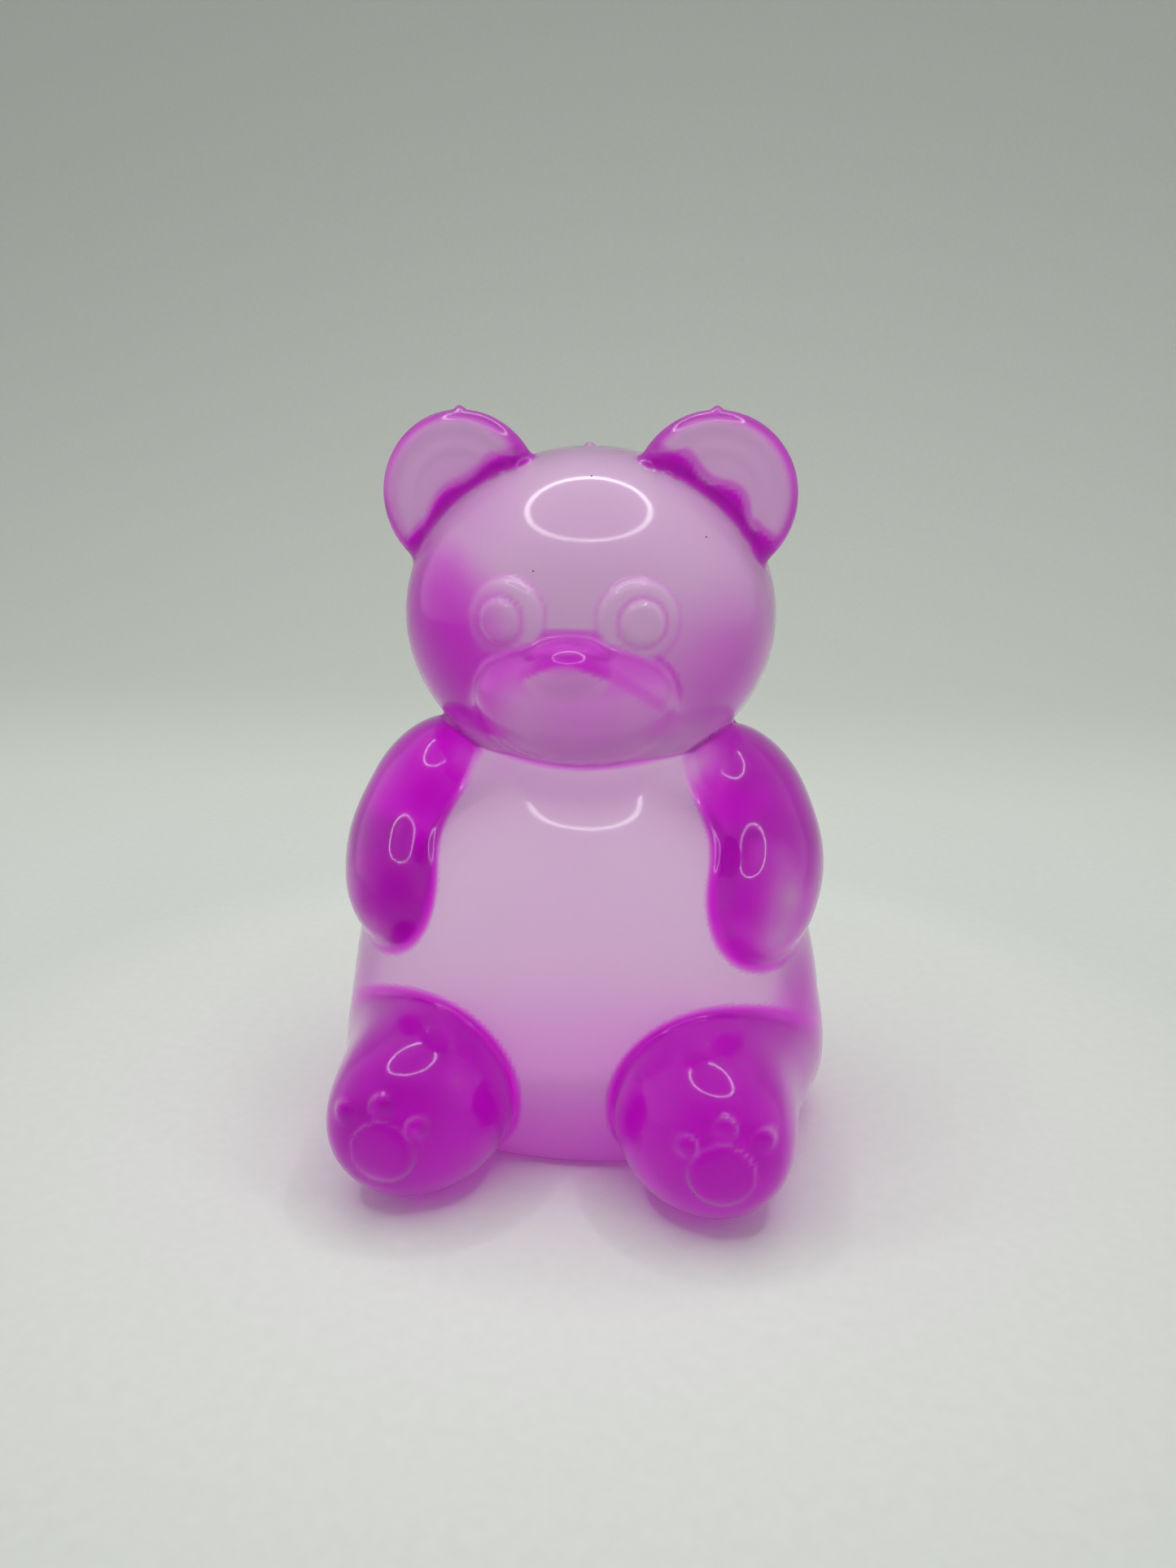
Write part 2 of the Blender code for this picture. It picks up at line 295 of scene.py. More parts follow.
@dataclass(frozen=True)
class Limbs:
    """One arm and one leg with its paw print; the other side is their mirror image."""

    hand: Form = Form((15.0, 6.9, 22.5), 4.75, 7.4, 5.8, turn=(14, 0, -14))
    upper_arm: Form = Form((13.6, 1.4, 27.2), 5.6, 7.6, 8.1, turn=(0, -26, 0))
    leg: Form = Form(
        (11.5, 13.9, 7.1),
        7.25,
        7.3,
        10.5,
        upper=2.7,
        lower=2.7,
        ring=2.7,
        bow=3.2,
        splay=1.9,
        turn=(90, 0, 0),
    )
    pad: Form = Form((12.5, 24.0, 6.8), 2.45, 2.45, 0.8, ring=2.6, turn=(86, 0, 10))
    toes: tuple[tuple[float, float, float], ...] = ((15.4, 23.1, 9.5), (12.6, 23.35, 10.35), (9.9, 23.5, 8.8))
    toe_radius: float = 0.85
    arm_blend: float = 3.0
    paw_blend: float = 0.45

    def prints(self) -> list[Form]:
        """The pad and the toes as forms."""
        radius = self.toe_radius
        return [self.pad, *(Form(toe, radius, radius, radius) for toe in self.toes)]

    def forms(self) -> list[Form]:
        """Forms of one side."""
        return [self.hand, self.upper_arm, self.leg, *self.prints()]

    def arm(self, points: np.ndarray) -> np.ndarray:
        """Distance to the arm."""
        return smooth_least(self.hand.distance(points), self.upper_arm.distance(points), self.arm_blend)

    def foot(self, points: np.ndarray) -> np.ndarray:
        """Distance to the leg with its paw print.

        Args:
            points: N by 3 points in millimetres, x not below 0.

        Returns:
            N distances.
        """
        near = self.leg.distance(points)
        for print_form in self.prints():
            near = smooth_least(near, print_form.distance(points), self.paw_blend)
        return near


@dataclass(frozen=True)
class Head:
    """The round head, its muzzle, nose, eyes and ears, and the gate marks on the crown and ears.

    Attributes whose names end in blend are widths of fillets, in millimetres.
    """

    skull: Form = Form((0, -1.1, 43.4), 15.65, 13.6, 13.9)
    muzzle: Form = Form((0, 9.7, 38.9), 7.8, 5.9, 5.3)
    nose: Form = Form((0, 13.3, 41.2), 3.3, 2.9, 2.2)
    eye: Form = Form((4.95, 11.4, 44.7), 3.05, 3.05, 1.0, ring=3.0, turn=(90, 0, 19))
    pupil: Form = Form((5.246, 12.0, 44.7), 1.65, 1.65, 0.85, ring=6.0, turn=(90, 0, 19))
    ear: Form = Form(
        (10.2, 2.1, 53.4), 6.6, 6.6, 2.0, ring=3.0, dish=0.8, dish_radius=5.7, dish_step=3.6, turn=(90, 0, 4)
    )
    crown_nub: Form = Form((0, 0, 57.2), 0.42, 0.42, 0.42)
    ear_nub: Form = Form((10.2, 2.1, 59.9), 0.42, 0.42, 0.42)
    nose_blend: float = 0.6
    pupil_blend: float = 0.3
    nub_blend: float = 0.2
    ear_blend: float = 0.8
    eye_blend: float = 0.4
    muzzle_blend: float = 0.5
    chin_blend: float = 2.5
    chin_top: float = 39.5
    chin_depth: float = 4.0

    def forms(self) -> list[Form]:
        """Forms on the middle plane."""
        return [self.skull, self.muzzle, self.nose, self.crown_nub]

    def side_forms(self) -> list[Form]:
        """Forms of one side."""
        return [self.eye, self.pupil, self.ear, self.ear_nub]

    def distance(self, points: np.ndarray) -> np.ndarray:
        """Distance to the whole head, its fillets widest where the muzzle runs into the chin.

        Args:
            points: N by 3 points in millimetres, x not below 0.

        Returns:
            N distances.
        """
        chin = np.clip((self.chin_top - points[:, 2]) / self.chin_depth, 0, 1)
        snout = smooth_least(self.muzzle.distance(points), self.nose.distance(points), self.nose_blend)
        eye = smooth_least(self.eye.distance(points), self.pupil.distance(points), self.pupil_blend)
        ear = smooth_least(self.ear.distance(points), self.ear_nub.distance(points), self.nub_blend)
        near = smooth_least(self.skull.distance(points), self.crown_nub.distance(points), self.nub_blend)
        near = smooth_least(near, ear, self.ear_blend)
        near = smooth_least(near, snout, self.muzzle_blend + self.chin_blend * chin)
        return smooth_least(near, eye, self.eye_blend)


@dataclass(frozen=True)
class Figure:
    """The whole figure as one field: forms joined with small fillets and cut flat at the seat.

    Attributes whose names end in blend or fillet are widths of fillets, in millimetres.
    """

    torso: Torso = field(default_factory=Torso)
    limbs: Limbs = field(default_factory=Limbs)
    head: Head = field(default_factory=Head)
    arm_blend: float = 0.9
    leg_blend: float = 0.8
    head_blend: float = 0.6
    seat_fillet: float = 0.6

    PROBE = 0.05

    def distance(self, points: np.ndarray) -> np.ndarray:
        """Distance to the figure: the smooth union of its forms, less everything below z = 0.

        Args:
            points: N by 3 points in millimetres.

        Returns:
            N distances, below 0 inside.
        """
        side = folded(points)
        near = smooth_least(self.torso.distance(side), self.limbs.arm(side), self.arm_blend)
        near = smooth_least(near, self.limbs.foot(side), self.leg_blend)
        near = smooth_least(near, self.head.distance(side), self.head_blend)
        return -smooth_least(-near, points[:, 2], self.seat_fillet)

    def slope(self, points: np.ndarray) -> np.ndarray:
        """Gradient of the distance."""
        return gradient(self.distance, points, self.PROBE)


def folded(points: np.ndarray) -> np.ndarray:
    """The points with those of the left side mirrored onto the right: |x|, y, z.

    Args:
        points: N by 3 points.

    Returns:
        A copy with x not below 0.
    """
    side = points.copy()
    side[:, 0] = np.abs(side[:, 0])
    return side


@dataclass(frozen=True)
class PaintedPatch:
    """A soft round patch of painted shade on the skin, or of painted light where the amount is below 0.

    Attributes:
        centre: Its middle as x, y, z in millimetres.
        radius: Where it ends.
        amount: Share added, or taken away if below 0.
    """

    centre: tuple[float, float, float]
    radius: float
    amount: float

    def on(self, depth: np.ndarray, points: np.ndarray) -> np.ndarray:
        """Lays this patch over a depth, fading from its middle to its radius.

        Args:
            depth: N depths from 0 to 1.
            points: N by 3 points in millimetres.

        Returns:
            N depths from 0 to 1.
        """
        away = np.linalg.norm(points - np.array(self.centre), axis=1)
        share = fade(away, self.radius) * abs(self.amount)
        return depth + (1 - depth) * share if self.amount > 0 else depth * (1 - share)


@dataclass(frozen=True)
class PaintedLightAndShade:
    """Painted light and shade in the colour of the skin: 0 where light passes straight, 1 where the painted
    shade is deepest.

    Light runs round inside the arms, the legs, the rims and the creases many times before it leaves, so they
    look a far deeper magenta than the belly and the forehead; this depth paints that shade into the colour,
    with painted shade in creases and grooves and paler patches of painted light.

    Attributes:
        figure: The figure whose forms set the zones.
        arm: Depth of the arms.
        leg: Depth of the legs.
        skull: Depth of the head in front and behind; its sides have twice as much.
        ear: Depth of the ears' flat middles.
        ear_rim: Depth of their rims.
        ear_root: Depth of the painted shade in the band where they meet the head.
        root_width: Mean width of that band and its swing to either side, right and left.
        brow_of_muzzle: Depth of the painted shade on the upward faces of muzzle and nose.
        nose_top: Depth of the nose above its arc, over that.
        nose_arc: Depth of the arc across the nose, which runs on down the right cheek.
        arc_fall: How steeply that arc falls away to the sides.
        muzzle: Depth of the rest of the muzzle.
        low_trunk: Depth of the trunk at the seat.
        flank: Depth of the trunk's sides.
        neck: Depth of the painted shade in the crease under the head.
        eye_ring: Depth of the painted shade in the grooves round the pupils.
        eye_edge: Depth of the grooves round the eyes, as a share of that.
        rim_highlight: Share of the depth taken away round the pads and the toes, a painted highlight on their
            rims.
        in_print: Share of the depth added inside them, painted shade.
        name: Name of the mesh attribute that carries it.
        patches: Places of painted light, paler than their surroundings, and of painted shade, deeper.
    """

    figure: Figure
    arm: float = 0.95
    leg: float = 0.9
    skull: float = 0.021
    ear: float = 0.066
    ear_rim: float = 0.32
    ear_root: float = 0.95
    root_width: tuple[tuple[float, float], tuple[float, float]] = ((0.75, 0.38), (0.55, 0.2))
    brow_of_muzzle: float = 0.2
    nose_top: float = 0.22
    nose_arc: float = 0.5
    arc_fall: float = 0.78
    muzzle: float = 0.055
    low_trunk: float = 0.2
    flank: float = 0.2
    neck: float = 0.25
    eye_ring: float = 0.1
    eye_edge: float = 0.6
    rim_highlight: float = 0.78
    in_print: float = 0.7
    name: str = "painted_shade_depth"
    patches: tuple[PaintedPatch, ...] = (
        PaintedPatch((17.2, -7.0, 23.8), 6.0, -0.95),
        PaintedPatch((16.8, -8.3, 20.6), 4.6, -0.9),
        PaintedPatch((16.6, -5.6, 27.2), 3.8, -0.6),
        PaintedPatch((-17.8, -6.5, 23.5), 3.2, -0.75),
        PaintedPatch((-15.9, -8.0, 20.2), 2.6, -0.6),
        PaintedPatch((-17.7, -7.3, 11.5), 4.0, -0.4),
        PaintedPatch((15.6, -13.6, 12.5), 5.0, -0.15),
        PaintedPatch((-11.6, -3.6, 40.0), 11.0, 0.95),
        PaintedPatch((-13.0, -1.5, 43.5), 8.5, 0.5),
        PaintedPatch((11.5, -3.0, 39.5), 9.5, 0.2),
        PaintedPatch((1.0, -10.0, 37.0), 8.0, 0.05),
        PaintedPatch((9.6, -0.8, 33.0), 6.0, -0.97),
        PaintedPatch((-9.0, -1.2, 32.8), 5.2, -0.93),
        PaintedPatch((-9.1, -1.6, 51.6), 7.0, 0.03),
        PaintedPatch((-7.4, -16.2, 11.4), 1.9, -0.6),
        PaintedPatch((-14.6, -14.3, 13.1), 4.0, -0.35),
        PaintedPatch((11.8, -14.0, 14.0), 5.5, -0.25),
        PaintedPatch((20.0, -1.8, 12.5), 7.0, 0.3),
    )

    # Lengths in millimetres: borders of zones on the limbs, on head and trunk, and on finer forms.
    LIMB_EDGE, EDGE, FINE_EDGE = 0.8, 0.5, 0.4
    # How far out the cheeks are, the gap round an ear, its rim's radius and border, its root's wave.
    CHEEK, EAR_GAP, RIM, ROOT_WAVE = 13.0, 0.3, (6.4, 0.9), 5.0
    # Height of the nose's arc, how far out it starts to fall, and its half width and border.
    ARC_TOP, ARC_BEND, ARC = 42.4, 2.2, (0.2, 0.55)
    # Distance and width of the crease round the muzzle, and the height and length of its lower end.
    CREASE, CHIN = (0.3, 0.35), (38.0, 2.0)
    # Fading height at the seat, a flank's distance out, border and height, and the neck's crease.
    LOW, FLANK, NECK = 10.0, (19.5, 5.0, 8.0), 0.6
    # Width of the grooves round pupils and eyes, and their distances from them.
    GROOVE = (0.3, 0.25, 0.2)
    # The soles' y, half width and border of the prints' rims, and start and border of their insides.
    SOLE, PRINT_RIM, PRINT_INSIDE = -16.5, (0.04, 0.3), (0.6, 0.4)

    def root_edge(self, points: np.ndarray) -> np.ndarray:
        """How far the painted shade band of an ear's root reaches: mean + swing * cos(2 pi (s - 1) / wave).

        Args:
            points: N by 3 points in millimetres.

        Returns:
            N widths, with s the way along the root, down and outwards from the middle of the ear.
        """
        out, _, height = self.figure.head.ear.centre
        along = (np.abs(points[:, 0]) - out - points[:, 2] + height) * math.sqrt(0.5)
        right, left = self.root_width
        mean = np.where(points[:, 0] > 0, right[0], left[0])
        swing = np.where(points[:, 0] > 0, right[1], left[1])
        return mean + swing * np.cos(2 * math.pi * (along - 1) / self.ROOT_WAVE)

    @staticmethod
    def arc_share(points: np.ndarray) -> np.ndarray:
        """Strength of the arc along x: whole on the nose, a fifth on the right cheek, none on the left."""
        x = points[:, 0]
        return np.maximum(fade(np.abs(x) - 2.5, 1.4), 0.22 * fade(np.abs(x - 4.6) - 1.8, 1.6))

    def limb_zones(self, side: np.ndarray) -> list[np.ndarray]:
        """Zones of the arms, as far as the head isn't nearer, and of the legs.

        Args:
            side: N by 3 points in millimetres, x not below 0.

        Returns:
            Arrays of N values from 0 to 1.
        """
        arm = self.figure.limbs.arm(side)
        clear = fade(arm - self.figure.head.distance(side), self.EDGE)
        foot = self.figure.limbs.foot(side)
        return [self.arm * fade(arm, self.LIMB_EDGE) * clear, self.leg * fade(foot, self.LIMB_EDGE)]

    def head_zones(self, points: np.ndarray, side: np.ndarray) -> list[np.ndarray]:
        """Zones of the head, and of the ears' middles, rims and roots.

        Args:
            points: N by 3 points in millimetres.
            side: The same points with x not below 0.

        Returns:
            Arrays of N values from 0 to 1.
        """
        head = self.figure.head
        ear, skull = head.ear.distance(side), head.skull.distance(side)
        local = (side - head.ear.middle()) @ turn_matrix(head.ear.turn)
        radius = np.hypot(local[:, 0], local[:, 1])
        on_ear = fade(ear, self.FINE_EDGE) * (skull > 0.0)
        cheek = 1 + np.minimum(side[:, 0] / self.CHEEK, 1) ** 2
        rim, border = self.RIM
        return [
            self.skull * fade(head.distance(side), self.EDGE) * (ear > self.EAR_GAP) * cheek,
            self.ear * on_ear,
            self.ear_rim * on_ear * fade(rim - radius, border),
            self.ear_root * on_ear * fade(skull - self.root_edge(points), self.EDGE),
        ]

    def snout_zones(self, points: np.ndarray, side: np.ndarray, normal: np.ndarray) -> list[np.ndarray]:
        """Zones of the muzzle and nose, with height over the arc = z - top + fall * (hypot(x, bend) - bend).

        Args:
            points: N by 3 points in millimetres.
            side: The same points with x not below 0.
            normal: Unit normals there.

        Returns:
            Arrays of N values from 0 to 1.
        """
        head = self.figure.head
        nose = head.nose.distance(side)
        snout = np.minimum(head.muzzle.distance(side), nose)
        on_snout = fade(snout, self.FINE_EDGE)
        # Painted shade on the faces of muzzle and nose that look upward.
        upward = np.clip((normal[:, 2] - 0.1) / 0.5, 0, 1)
        fall = self.arc_fall * (np.hypot(side[:, 0], self.ARC_BEND) - self.ARC_BEND)
        above = points[:, 2] - self.ARC_TOP + fall
        half, border = self.ARC
        away, width = self.CREASE
        chin, end = self.CHIN
        crease = fade(np.abs(snout - away), width) * fade(head.skull.distance(side), self.FINE_EDGE)
        return [
            self.brow_of_muzzle * on_snout * upward,
            self.muzzle * on_snout,
            self.nose_arc * on_snout * fade(np.abs(above - half) - half, border) * self.arc_share(points),
            self.nose_top * fade(nose, self.FINE_EDGE) * fade(-above, self.FINE_EDGE),
            self.neck * crease * fade(chin - points[:, 2], end),
        ]

    def trunk_zones(self, points: np.ndarray, side: np.ndarray) -> list[np.ndarray]:
        """Zones of painted shade: the trunk at the seat, its flanks and the crease under the head.

        Args:
            points: N by 3 points in millimetres.
            side: The same points with x not below 0.

        Returns:
            Arrays of N values from 0 to 1.
        """
        torso = self.figure.torso.distance(side)
        on_trunk = fade(torso, self.EDGE)
        out, border, height = self.FLANK
        beside = fade(out - side[:, 0], border) * fade(points[:, 2] - height, self.LOW)
        return [
            self.low_trunk * on_trunk * fade(points[:, 2], self.LOW),
            self.flank * on_trunk * beside,
            self.neck * fade(np.abs(self.figure.head.distance(side) - torso), self.NECK),
        ]

    def eye_zones(self, side: np.ndarray) -> list[np.ndarray]:
        """Zones of painted shade in the grooves round the pupils and round the eyes.

        Args:
            side: N by 3 points in millimetres, x not below 0.

        Returns:
            Arrays of N values from 0 to 1.
        """
        head = self.figure.head
        pupil, eye, skull = head.pupil.distance(side), head.eye.distance(side), head.skull.distance(side)
        width, off_pupil, off_eye = self.GROOVE
        inner = fade(np.abs(pupil - off_pupil), width) * fade(eye, width)
        outer = fade(np.abs(eye - off_eye), width) * fade(skull, self.EDGE)
        return [self.eye_ring * inner, self.eye_ring * self.eye_edge * outer]

    def with_prints(self, depth: np.ndarray, points: np.ndarray, side: np.ndarray) -> np.ndarray:
        """Lays painted highlights on the rims of the paw prints, palest up and out where the light falls, and
        painted shade in their insides.

        Args:
            depth: N depths from 0 to 1.
            points: N by 3 points in millimetres.
            side: The same points with x not below 0.

        Returns:
            N depths from 0 to 1.
        """
        limbs = self.figure.limbs
        front = fade(points[:, 1] - self.SOLE, self.EDGE) * fade(limbs.foot(side), self.LIMB_EDGE)
        half, border = self.PRINT_RIM
        inward, soft = self.PRINT_INSIDE
        for print_form in limbs.prints():
            out, _, height = print_form.centre
            across, up = side[:, 0] - out, points[:, 2] - height
            radius = np.hypot(across, up)
            away = radius - print_form.across
            # Painted highlight: brighter on the upper, outer side of each rim, as the light falls.
            lit = 0.6 + 0.4 * (across + up) / (radius + 0.1)
            depth = depth * (1 - self.rim_highlight * front * lit * fade(np.abs(away) - half, border))
            depth = depth + (1 - depth) * self.in_print * front * fade(away + inward, soft)
        return depth

    def at(self, points: np.ndarray, normal: np.ndarray) -> np.ndarray:
        """Painted shade depth at points of the skin: 1 - product of (1 - zone) over all zones, then the
        prints' painted highlights and the patches of painted light and shade.

        Args:
            points: N by 3 points in millimetres.
            normal: Unit normals there.

        Returns:
            N values from 0 to 1.
        """
        side = folded(points)
        zones = [
            *self.limb_zones(side),
            *self.head_zones(points, side),
            *self.snout_zones(points, side, normal),
            *self.trunk_zones(points, side),
            *self.eye_zones(side),
        ]
        depth = 1 - np.prod([1 - zone for zone in zones], axis=0)
        depth = self.with_prints(depth, points, side)
        for patch in self.patches:
            depth = patch.on(depth, points)
        return depth


def plain_mesh(name: str, points: np.ndarray, quads: np.ndarray) -> bpy.types.Mesh:
    """A mesh from whole arrays.

    Args:
        name: Its name.
        points: N by 3 points in millimetres.
        quads: Rows of four indices.

    Returns:
        The mesh, in metres.
    """
    mesh = bpy.data.meshes.new(name)
    mesh.from_pydata((points * MM).tolist(), [], quads.tolist())
    mesh.validate()
    mesh.update()
    return mesh


def link(name: str, mesh: bpy.types.Mesh) -> bpy.types.Object:
    """Puts a mesh in the scene.

    Args:
        name: Name of the object.
        mesh: Its mesh.

    Returns:
        The object.
    """
    thing = bpy.data.objects.new(name, mesh)
    bpy.context.scene.collection.objects.link(thing)
    return thing


@dataclass
class Skin:
    """The closed skin of the figure.

    Attributes:
        figure: The field that the skin lies on.
        detail: How fine it is cut.
        dye: The painted light and shade: how deep the colour looks from place to place.
    """

    figure: Figure
    detail: Detail
    dye: PaintedLightAndShade

    # Rounds of evening out, the longest move of a point and the least slope squared in it.
    ROUNDS, LONGEST, LEAST = 4, 0.6, 0.25

    def rough(self) -> bpy.types.Object:
        """All forms as grids in one mesh, joined by a voxel remesh and applied.

        Returns:
            The object, with the joined mesh.
        """
        whole = [*self.figure.torso.forms(), *self.figure.head.forms()]
        sided = [*self.figure.limbs.forms(), *self.figure.head.side_forms()]
        points, quads, count = [], [], 0
        for form in whole + sided:
            for sign in (1.0, -1.0) if form in sided else (1.0,):
                made, faces = form.grid()
                points.append(made * np.array([sign, 1, 1]))
                quads.append((faces if sign > 0 else faces[:, ::-1]) + count)
                count += len(made)
        thing = link("bear_skin", plain_mesh("bear_skin", np.concatenate(points), np.concatenate(quads)))
        remesh = thing.modifiers.new("join", "REMESH")
        remesh.mode = "VOXEL"
        remesh.voxel_size = self.detail.value * MM
        graph = bpy.context.evaluated_depsgraph_get()
        joined = bpy.data.meshes.new_from_object(thing.evaluated_get(graph))
        thing.modifiers.clear()
        thing.data = joined
        return thing

    def drawn(self, points: np.ndarray) -> tuple[np.ndarray, np.ndarray]:
        """Moves points along the slope towards the zero of the field: p - d * g / (g . g).

        Args:
            points: N by 3 points in millimetres.

        Returns:
            The moved points, and the unit slope at the old ones.
        """
        away = self.figure.distance(points)
        slope = self.figure.slope(points)
        squared = np.maximum((slope**2).sum(axis=1), self.LEAST)
        moved = points - slope * np.clip(away / squared, -self.LONGEST, self.LONGEST)[:, None]
        return moved, slope / np.sqrt(squared)[:, None]

    def relaxed(self, points: np.ndarray, normal: np.ndarray, edges: np.ndarray) -> np.ndarray:
        """Moves each point halfway to the mean of its neighbours, along the surface only.

        Args:
            points: N by 3 points.
            normal: Unit normals at the points.
            edges: E by 2 indices.

        Returns:
            The moved points.
        """
        both = np.concatenate([edges, edges[:, ::-1]])
        start, end = both[:, 0], both[:, 1]
        count = np.bincount(start, minlength=len(points))
        total = np.stack([np.bincount(start, points[end, i], len(points)) for i in range(3)], axis=1)
        shift = total / count[:, None] - points
        return points + 0.5 * (shift - normal * (shift * normal).sum(axis=1, keepdims=True))

    def build(self) -> bpy.types.Object:
        """The finished skin as one object.

        Returns:
            The object, in metres, smooth shaded, riding on the root body.
        """
        thing = self.rough()
        mesh = thing.data
        points = np.empty(len(mesh.vertices) * 3)
        mesh.vertices.foreach_get("co", points)
        points = points.reshape(-1, 3) / MM
        edges = np.empty(len(mesh.edges) * 2, np.int64)
        mesh.edges.foreach_get("vertices", edges)
        edges = edges.reshape(-1, 2)
        points, normal = self.drawn(points)
        for _ in range(self.ROUNDS):
            points, normal = self.drawn(self.relaxed(points, normal, edges))
        points, normal = self.drawn(points)
        mesh.vertices.foreach_set("co", (points * MM).ravel())
        mesh.update()
        # Painted light and shade, as a depth at each point.
        depth = mesh.attributes.new(self.dye.name, "FLOAT", "POINT")
        depth.data.foreach_set("value", self.dye.at(points, normal))
        mesh.shade_smooth()
        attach(thing, "root")
        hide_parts("bear")
        LOG.info("skin: %d points, %d faces", len(mesh.vertices), len(mesh.polygons))
        return thing


@dataclass(frozen=True)
class Nodes:
    """A node tree with short ways to add the nodes that the finishes share.

    Attributes:
        tree: The tree.
        place: Its texture coordinate node.
    """

    tree: bpy.types.NodeTree
    place: bpy.types.Node

    # Range of values that noise mostly has.
    NOISE = (0.3, 0.7)

    @classmethod
    def of(cls, tree: bpy.types.NodeTree) -> "Nodes":
        """The helper for a tree, with its texture coordinate node."""
        return cls(tree, tree.nodes.new("ShaderNodeTexCoord"))

    def join(self, value: bpy.types.NodeSocket, socket: bpy.types.NodeSocket) -> None:
        """Links an output to an input."""
        self.tree.links.new(value, socket)

    def split(self, output: str = "Object") -> bpy.types.NodeOutputs:
        """X, Y and Z of a texture coordinate.

        Args:
            output: Which coordinate.

        Returns:
            The three outputs by name.
        """
        made = self.tree.nodes.new("ShaderNodeSeparateXYZ")
        self.join(self.place.outputs[output], made.inputs["Vector"])
        return made.outputs

    def noise(self, scale: float) -> bpy.types.NodeSocket:
        """Noise over object coordinates.

        Args:
            scale: Its scale, per metre.

        Returns:
            A value from 0 to 1.
        """
        made = self.tree.nodes.new("ShaderNodeTexNoise")
        made.inputs["Scale"].default_value = scale
        made.inputs["Detail"].default_value = 2.0
        self.join(self.place.outputs["Object"], made.inputs["Vector"])
        return made.outputs["Fac"]

    def ranged(
        self,
        value: bpy.types.NodeSocket,
        start: tuple[float, float],
        end: tuple[float, float],
        easing: Easing = Easing.LINEAR,
    ) -> bpy.types.NodeSocket:
        """Carries a value from one range onto another, held at both ends.

        Args:
            value: The value.
            start: First and last value of its range.
            end: What these two become.
            easing: How it runs between them.

        Returns:
            The new value.
        """
        made = self.tree.nodes.new("ShaderNodeMapRange")
        made.interpolation_type = easing.value
        for name, number in zip(("From Min", "From Max", "To Min", "To Max"), (*start, *end)):
            made.inputs[name].default_value = number
        self.join(value, made.inputs["Value"])
        return made.outputs["Result"]

    def math(
        self,
        operation: str,
        first: bpy.types.NodeSocket,
        second: bpy.types.NodeSocket | float = 0.0,
    ) -> bpy.types.NodeSocket:
        """One Math node.

        Args:
            operation: What it does.
            first: Its first value.
            second: Its second value, as a socket or a number.

        Returns:
            The outcome.
        """
        made = self.tree.nodes.new("ShaderNodeMath")
        made.operation = operation
        self.join(first, made.inputs[0])
        if isinstance(second, bpy.types.NodeSocket):
            self.join(second, made.inputs[1])
        else:
            made.inputs[1].default_value = second
        return made.outputs["Value"]

    def near(self, centre: tuple[float, float, float], full: float, reach: float) -> bpy.types.NodeSocket:
        """Smooth share that is 1 close to a place and 0 far from it.

        Args:
            centre: The place, in millimetres.
            full: Distance within which it is 1.
            reach: Distance beyond which it is 0.

        Returns:
            A value from 0 to 1.
        """
        away = self.tree.nodes.new("ShaderNodeVectorMath")
        away.operation = "DISTANCE"
        away.inputs[1].default_value = tuple(value * MM for value in centre)
        self.join(self.place.outputs["Object"], away.inputs[0])
        return self.ranged(away.outputs["Value"], (full * MM, reach * MM), (1.0, 0.0), Easing.SMOOTHER)


